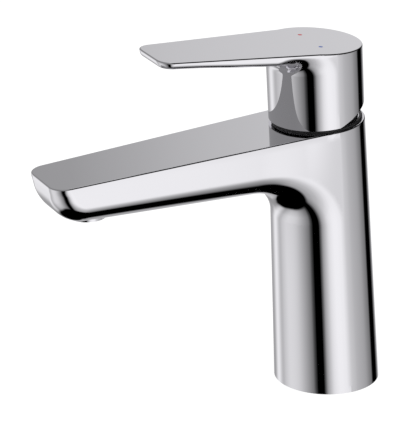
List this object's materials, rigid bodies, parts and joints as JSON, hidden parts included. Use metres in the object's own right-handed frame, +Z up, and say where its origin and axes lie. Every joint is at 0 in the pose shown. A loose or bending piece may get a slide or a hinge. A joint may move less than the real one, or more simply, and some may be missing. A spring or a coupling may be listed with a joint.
{
  "type": "basin mixer faucet",
  "caption": "Chrome single-lever basin mixer with a leaning round column, flat-topped tapering spout and flat paddle lever that lifts for flow and swivels for temperature.",
  "frame": {"origin": "centre of the base's underside, on the basin deck", "axes": "+Z up from the deck, spout and lever towards -Y, hot side -X and cold side +X"},
  "size_m": [0.05, 0.1714, 0.1737],
  "materials": {
    "chrome": "polished chrome plate",
    "brass": "turned brass",
    "steel": "plain steel",
    "white_plastic": "moulded acetal",
    "grey_plastic": "moulded glass-filled plastic",
    "black_plastic": "moulded black acetal",
    "rubber": "moulded rubber",
    "ceramic": "lapped alumina",
    "hot_red": "red filler",
    "cold_blue": "blue filler"
  },
  "bodies": {
    "body": {"faucet_body": "chrome", "base_gasket": "rubber", "aerator_collar": "chrome", "aerator_insert": "grey_plastic", "aerator_washer": "rubber", "port_seals": "rubber", "cartridge_base": "white_plastic", "fixed_disc": "ceramic", "cartridge_housing": "white_plastic", "temperature_stop_ring": "grey_plastic", "retaining_nut": "brass", "cover_seal": "rubber", "cover_ring": "chrome", "glide_ring": "black_plastic"},
    "swivel": {"cartridge_rotor": "grey_plastic", "stem_pivot_pin": "steel"},
    "handle": {"lever_handle": "chrome", "cartridge_stem": "brass", "stem_sleeve": "white_plastic", "handle_grub_screw": "steel", "grub_screw_plug": "chrome", "hot_mark": "hot_red", "cold_mark": "cold_blue"},
    "slider": {"moving_disc": "ceramic", "disc_carrier": "white_plastic"}
  },
  "joints": [
    {"name": "lever_swivel", "type": "hinge", "parent": "body", "child": "swivel", "pos_m": [0, -0.00786, 0.13627], "axis": [0, -0.0576, 0.9983], "range_deg": [-45, 45]},
    {"name": "lever_lift", "type": "hinge", "parent": "swivel", "child": "handle", "pos_m": [0, -0.00786, 0.13627], "axis": [-1, 0, 0], "range_deg": [0, 20]},
    {"name": "disc_slide", "type": "slide", "parent": "swivel", "child": "slider", "axis": [0, -0.9983, -0.0576], "range_m": [0, 0.00366]}
  ],
  "couplings": [
    {"joint": "disc_slide", "follows": "lever_lift", "m_per_rad": 0.010484}
  ]
}
